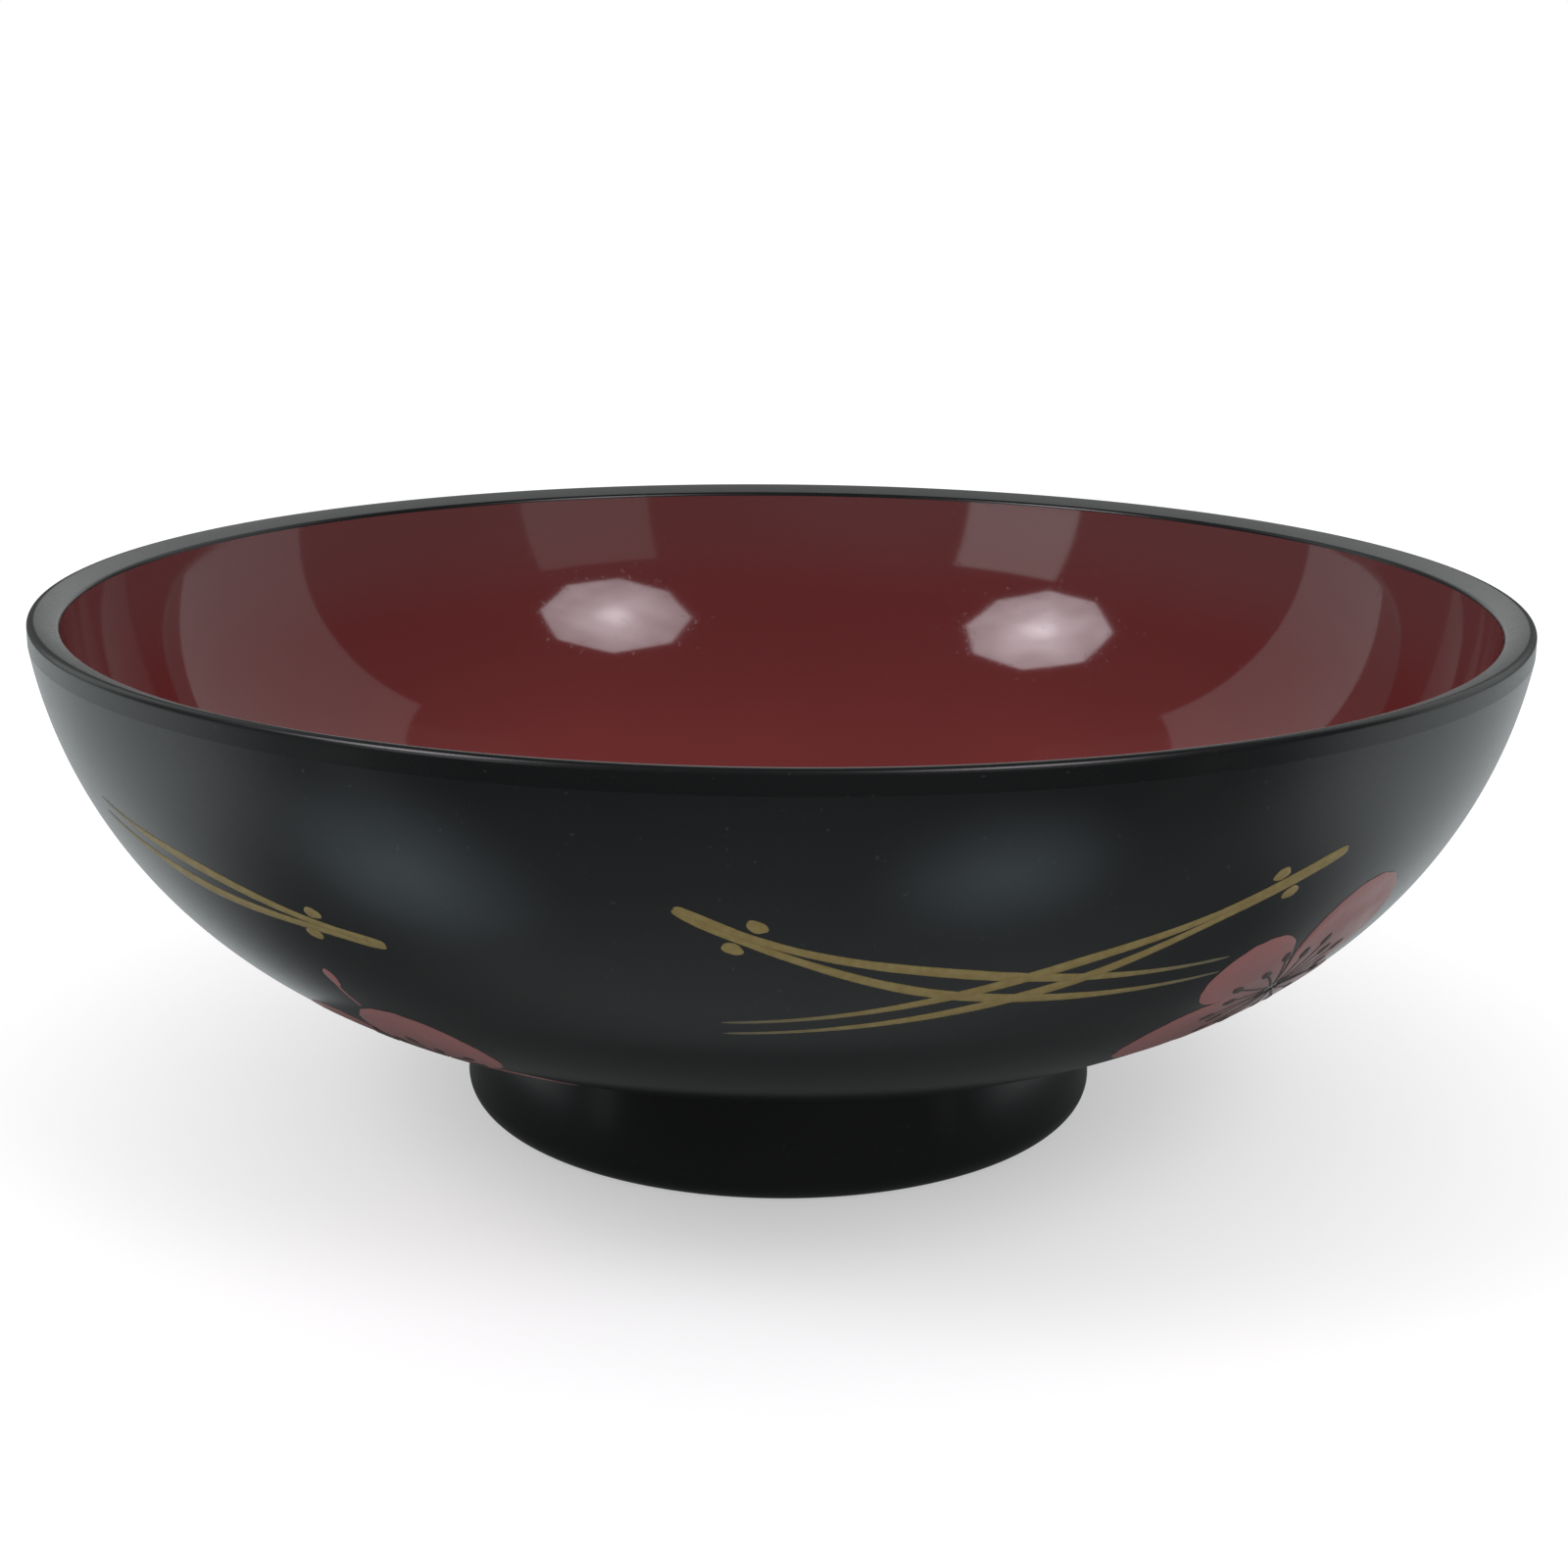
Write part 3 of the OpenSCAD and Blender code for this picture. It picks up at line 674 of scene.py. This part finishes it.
def stamenParts(blossom):
    # threads that fan out from the eye, each a shallow sine arc, with a swollen anther at its end
    p = stamenShape
    eye, film = petalSet["eye"], paintSet["film"]
    parts = []
    for n in range(p["count"]):
        a = 2 * math.pi * n / p["count"] + rng.uniform(-p["bearingSpread"], p["bearingSpread"])
        reach = p["reach"] * (1 if n % 2 == 0 else p["shortReach"]) * rng.uniform(*p["reachSpread"])
        d = np.concatenate([np.linspace(eye, reach - p["antherLength"] * 1.1, 22),
                            np.linspace(reach - p["antherLength"] * 1.05, reach, 12)])
        bend = rng.uniform(-p["bend"], p["bend"])
        swing = bend * np.sin(np.pi * (d - eye) / (reach - eye))
        way = np.array([math.cos(a), math.sin(a)])
        at = stepOn(np.asarray(blossom, float), d * way[0] - swing * way[1], d * way[1] + swing * way[0])
        swell = np.clip((d - (reach - p["antherLength"])) / p["antherLength"], 0, 1)
        anther = p["thread"] + (p["antherWidth"] - p["thread"]) * np.sin(np.pi * swell ** 0.8) ** 0.7
        thread = p["thread"] * (p["root"] + (1 - p["root"]) * d / reach)
        width = np.where(swell > 0, anther, thread)
        width[-1] = p["end"]
        direction = np.broadcast_to(way, (len(d), 2))
        parts.append(stroke(at, direction, width, film, film * p["filmShare"], paintSet["ends"], 10))
    return parts


budSet = {
    "place": [-35.8, 50.8], "length": 4.2, "width": 1.9, "bloom": 0.8,
    "stalk": 5.5, "stalkWidth": 0.45, "stalkInside": 1.1, "stalkSway": 0.25, "swayPace": 0.6, "stalkEnd": 0.5,
    "taperLength": 6.0, "filmShare": 0.8, "stalkMap": (0.6, 0.8), "steps": 24,
}


def budParts():
    # an upright oval on a thin stalk that sways as a sine
    p = budSet
    film, place, steps = paintSet["film"], np.asarray(p["place"], float), p["steps"]
    parts = [dab(p["place"], p["length"], p["width"], 90, 0.0, film, p["bloom"], 36, 8)]
    up = np.linspace(-p["length"] / 2 - p["stalk"], -p["length"] / 2 + p["stalkInside"], steps)
    at = stepOn(place, p["stalkSway"] * np.sin(up * p["swayPace"]), up)
    way = np.broadcast_to(np.array([0.0, 1.0]), (steps, 2))
    taper = endTaper(np.linspace(0, 1, steps), p["taperLength"], p["stalkEnd"], p["stalkEnd"])
    parts.append(stroke(at, way, p["stalkWidth"] * taper, 0.0, film * p["filmShare"], p["stalkMap"], 10))
    return parts


def painted(name, node, material, parts, turn, sharp):
    points, faces, maps = gathered(parts, turn)
    meshPiece(name, points, faces, [node], material, maps, sharp)


for face, turn in (("front", 0), ("back", 180)):
    for name, sprig in sprigSet.items():
        parts = sprigParts(sprig)
        painted(f"sprig_{name}_{face}", f"pine_sprig_{name}_{face}", gold, parts, turn, 60)
    for name, blossom in petalSet["blossoms"].items():
        parts = [petalPatch(blossom, *petal, paintSet["film"]) for petal in petalSet["petals"]]
        painted(f"petals_{name}_{face}", f"plum_petals_{name}_{face}", plum, parts, turn, 50)
        parts = stamenParts(blossom)
        painted(f"stamens_{name}_{face}", f"plum_stamens_{name}_{face}", stamen,
                parts, turn, 60)
    painted(f"bud_{face}", f"plum_bud_{face}", plum, budParts(), turn, 60)
print("painting laid on")

# The studio. Directions are (azimuth, elevation) in degrees from the bowl: azimuth 0 is the front, + towards
# +X. The world is plain white light. What the lacquer mirrors is set apart from it, on sheets that only
# reflections see: a dark room in front, white paper behind and at the sides, and the floor's sheen.
mirrored = {
    "camera": False, "diffuse": False, "transmission": False, "volume_scatter": False, "shadow": False,
}
aimPoint = [0, 0, 0.06]


def aim(az, el, distance):
    # aim point + distance * (sin az cos el, -cos az cos el, sin el)
    a, e = np.radians(az), np.radians(el)
    way = np.stack([np.sin(a) * np.cos(e), -np.cos(a) * np.cos(e), np.sin(e)], axis=-1)
    return way * distance + aimPoint


def stagePiece(name, points, faces, material, **seen):
    mesh = bpy.data.meshes.new(name)
    mesh.from_pydata([tuple(p) for p in points], [], [tuple(int(n) for n in f) for f in faces])
    mesh.materials.append(material)
    mesh.shade_smooth()
    piece = bpy.data.objects.new(name, mesh)
    bpy.context.scene.collection.objects.link(piece)
    for key, value in seen.items():
        setattr(piece, "visible_" + key, value)
    return piece


def glowing(kit, colour, strength):
    kit.done(Base_Color=rgb(0, 0, 0), Roughness=1.0, Emission_Color=colour, Emission_Strength=strength)
    return kit.material


boxSet = {
    "lamps": [
        {"az": 41.5, "el": 46.3, "half": 12.7, "power": 7.0},
        {"az": -64, "el": 43.8, "half": 12.7, "power": 8.0},
    ],
    "sheens": [
        {"az": 39, "el": -46, "half": 13.5, "power": 0.85},
        {"az": -68, "el": -44, "half": 15.5, "power": 0.80},
    ],
    "distance": 1.5, "lampTint": (1.0, 0.95, 1.01), "sheenTint": (0.84, 1.0, 1.08),
    "middle": 1.15, "edge": 0.62, "hot": 0.45, "hotReach": 0.35, "patchScale": 7.0, "patch": (0.85, 1.15),
}


def softBox(name, az, el, half, power, tint, **seen):
    # an eight-sided lamp face square to the line to the bowl, brightest in the middle
    t = boxSet
    centre = aim(az, el, t["distance"])
    out = (centre - aimPoint) / t["distance"]
    right = np.cross([0, 0, 1.0], out)
    right /= np.linalg.norm(right)
    up = np.cross(out, right)
    size = math.tan(math.radians(half)) * t["distance"]
    a = np.radians(np.arange(8) * 45 + 22.5)
    rim = centre + size * (np.cos(a)[:, None] * right + np.sin(a)[:, None] * up)
    faces = [(n, (n + 1) % 8, 8) for n in range(8)]
    kit = Finish(name)
    away = kit.add("ShaderNodeVectorMath", {"operation": "DISTANCE"}, {0: kit.place(), 1: tuple(centre)},
                   out="Value")
    patchy = kit.noise(kit.place(), t["patchScale"], 2.0)
    fall = kit.band(away, 0.0, size, t["middle"], t["edge"]) * kit.band(patchy, 0.25, 0.75, *t["patch"])
    hot = kit.band(away, 0.0, size * t["hotReach"], t["hot"], 0.0)
    bright = kit.add("ShaderNodeVectorMath", {"operation": "SCALE"}, {0: tint, "Scale": fall + hot})
    return stagePiece(name, np.concatenate([rim, [centre]]), faces, glowing(kit, bright, power), **seen)


for n, box in enumerate(boxSet["lamps"]):
    softBox(f"soft_box_{n}", **box, tint=boxSet["lampTint"], camera=False)
for n, box in enumerate(boxSet["sheens"]):
    softBox(f"floor_sheen_{n}", **box, tint=boxSet["sheenTint"], **mirrored)

sheetSet = {
    "low_panel": [
        {"az": (26, 51), "el": (4, 28.5), "glow": 0.58},
        {"az": (-58, -36), "el": (7, 28.5), "glow": 1.5},
    ],
    "side_panel": [
        {"az": (98, 127), "topAz": (104, 161), "el": (1, 30), "glow": 0.62},
        {"az": (104, 161), "topAz": (109, 173), "el": (30, 48), "glow": 0.62},
        {"az": (-130, -109), "topAz": (-143, -111), "el": (2, 30), "glow": 0.70},
        {"az": (-143, -111), "topAz": (-152, -113), "el": (30, 46), "glow": 0.70},
    ],
    "corner_paper": [
        {"az": (118, 166), "el": (-6, 62), "glow": 0.15, "distance": 2.0},
        {"az": (-166, -120), "el": (-6, 62), "glow": 0.15, "distance": 2.0},
    ],
    # painted reflection: narrow glowing strips, seen only in reflections, that show as lighter upright bands
    # on the foot's sides
    "painted_foot_reflection": [
        {"az": (-69, -59), "el": (-36, -8), "glow": 0.34},
        {"az": (58, 64), "el": (-34, -8), "glow": 0.22},
    ],
}
rearSheet = {"az": (163, 197), "el": (-2, 62), "glow": 0.80, "distance": 2.1}
paperTint = rgb(0.97, 1.0, 1.0)


def skyPatch(name, az, el, glow, topAz=None, distance=1.9, columns=13, rows=9):
    # a glowing sheet that spans a range of azimuth, which may lean, and of elevation
    t, e = np.meshgrid(np.linspace(0, 1, columns), np.linspace(*el, rows), indexing="ij")
    up = (e - el[0]) / (el[1] - el[0])
    low, high = (np.subtract(topAz or az, az)[n] * up + az[n] for n in (0, 1))
    points = aim(low + (high - low) * t, e, distance).reshape(-1, 3)
    i, j = np.meshgrid(np.arange(columns - 1), np.arange(rows - 1), indexing="ij")
    k = (i * rows + j).ravel()
    faces = np.stack([k, k + 1, k + rows + 1, k + rows], axis=1)
    material = glowing(Finish(name), paperTint, glow)
    material.cycles.emission_sampling = "NONE"
    return stagePiece(name, points, faces, material, **mirrored)


for name, sheets in sheetSet.items():
    for n, sheet in enumerate(sheets):
        skyPatch(f"{name}_{n}", **sheet)
skyPatch("rear_paper", **rearSheet)

shadeSet = {"radius": 0.088, "glow": 0.09, "below": 0.0005, "tint": rgb(0.94, 1.0, 1.0)}


def underShade(around=64):
    # painted shadow: a dim disc, seen only in reflections, standing for the bowl's shadow on the floor
    # beneath it, as the foot and the underside mirror it
    t = shadeSet
    a = np.linspace(0, 2 * np.pi, around, endpoint=False)
    radius, z = t["radius"], np.full(around, -t["below"])
    points = np.stack([radius * np.cos(a), radius * np.sin(a), z], axis=1)
    material = glowing(Finish("under_shade"), t["tint"], t["glow"])
    material.cycles.emission_sampling = "NONE"
    return stagePiece("under_shade", points, [tuple(range(around))], material, **mirrored)


underShade()

# Glows of the room and of the floor: near, middle and far in front, and behind, further out and underneath,
# where the dim 'under' glow is a painted shadow of the bowl on the floor.
# Each band is a range of sines of the angle below the horizon.
roomSet = {
    "radius": 4.0, "tint": (0.94, 1.0, 1.015), "room": 0.10,
    "near": 0.34, "middle": 0.25, "far": 0.075, "back": 0.72, "under": 0.11,
    "farBand": (0.25, 0.72), "nearBand": (0.72, 0.97), "shadowUnderBand": (0.42, 0.72), "horizon": 0.03,
    "backBand": (-0.05, 0.45), "backSpread": 0.35,
}


def mirroredRoom(around=48, rings=24):
    # a sphere; its glow follows the direction: below the horizon the floor, darker further out in front
    t = roomSet
    radius = t["radius"]
    a = np.linspace(0, 2 * np.pi, around, endpoint=False)
    e = np.linspace(-np.pi / 2, np.pi / 2, rings + 1)[1:-1]
    az, el = np.meshgrid(a, e, indexing="ij")
    points = np.stack([np.cos(az) * np.cos(el), np.sin(az) * np.cos(el), np.sin(el)], axis=-1)
    points = np.concatenate([points.reshape(-1, 3) * radius, [[0, 0, -radius], [0, 0, radius]]])
    n = len(e)
    i, j = np.meshgrid(np.arange(around), np.arange(n - 1), indexing="ij")
    nxt = (i + 1) % around
    quads = np.stack([i * n + j, i * n + j + 1, nxt * n + j + 1, nxt * n + j], axis=-1).reshape(-1, 4)
    k, m = np.arange(around), (np.arange(around) + 1) % around
    caps = [np.stack([np.full(around, around * n), k * n, m * n], axis=1),
            np.stack([np.full(around, around * n + 1), m * n + n - 1, k * n + n - 1], axis=1)]
    kit = Finish("mirrored_room")
    x, y, z = kit.split(kit.stretch(kit.place(), (1 / radius, 1 / radius, 1 / radius)))
    down = z * -1.0
    front = kit.band(down, *t["farBand"], t["far"], t["middle"])
    front = front + kit.band(down, *t["nearBand"], 0.0, t["near"] - t["middle"])
    back = kit.band(y + x * x * t["backSpread"], *t["backBand"])
    # painted shadow: behind the bowl the floor's glow falls to 'under' steeply below, where the bowl shades
    # the floor
    behind = kit.band(down, *t["shadowUnderBand"], t["back"], t["under"])
    floor = front + (behind - front) * back
    glow = t["room"] + (floor - t["room"]) * kit.band(down, 0.0, t["horizon"])
    colour = kit.add("ShaderNodeVectorMath", {"operation": "SCALE"}, {0: t["tint"], "Scale": glow})
    material = glowing(kit, colour, 1.0)
    material.cycles.emission_sampling = "NONE"
    faces = [tuple(f) for f in quads] + [tuple(f) for c in caps for f in c]
    return stagePiece("mirrored_room", points, faces, material, **mirrored)


mirroredRoom()

floorSet = {"half": 4.0, "colour": rgb(0.62, 0.62, 0.62), "glow": 0.42, "world": 1.0}
half = floorSet["half"]
floorMaterial = Finish("pale_floor").done(
    Base_Color=floorSet["colour"], Roughness=0.6, Specular_IOR_Level=0.0,
    Emission_Color=rgb(1, 1, 1), Emission_Strength=floorSet["glow"])
stagePiece("floor", [(-half, -half, 0), (half, -half, 0), (half, half, 0), (-half, half, 0)], [(0, 1, 2, 3)],
           floorMaterial, glossy=False)

world = bpy.data.worlds.new("studio")
world.use_nodes = True
world.node_tree.nodes["Background"].inputs["Color"].default_value = rgb(1, 1, 1)
world.node_tree.nodes["Background"].inputs["Strength"].default_value = floorSet["world"]
bpy.context.scene.world = world

# The camera. In degrees, "down" is its tilt below level, "turn" about the upright and "roll" about its line.
cameraSet = {
    "place": (0.0, -0.3987, 0.1601), "down": 15.04, "turn": -0.08, "roll": 0.5, "lens": 56.0, "sensor": 36.0,
    "nearest": 0.01,
}
camera = bpy.data.objects.new("camera", bpy.data.cameras.new("camera"))
bpy.context.scene.collection.objects.link(camera)
camera.data.lens = cameraSet["lens"]
camera.data.sensor_width = cameraSet["sensor"]
camera.data.clip_start = cameraSet["nearest"]
camera.matrix_world = (
    Matrix.Translation(cameraSet["place"])
    @ Matrix.Rotation(math.radians(cameraSet["turn"]), 4, "Z")
    @ Matrix.Rotation(math.radians(90 - cameraSet["down"]), 4, "X")
    @ Matrix.Rotation(math.radians(cameraSet["roll"]), 4, "Z"))
bpy.context.scene.camera = camera
bpy.context.scene.view_settings.view_transform = "Standard"

print("studio set up")
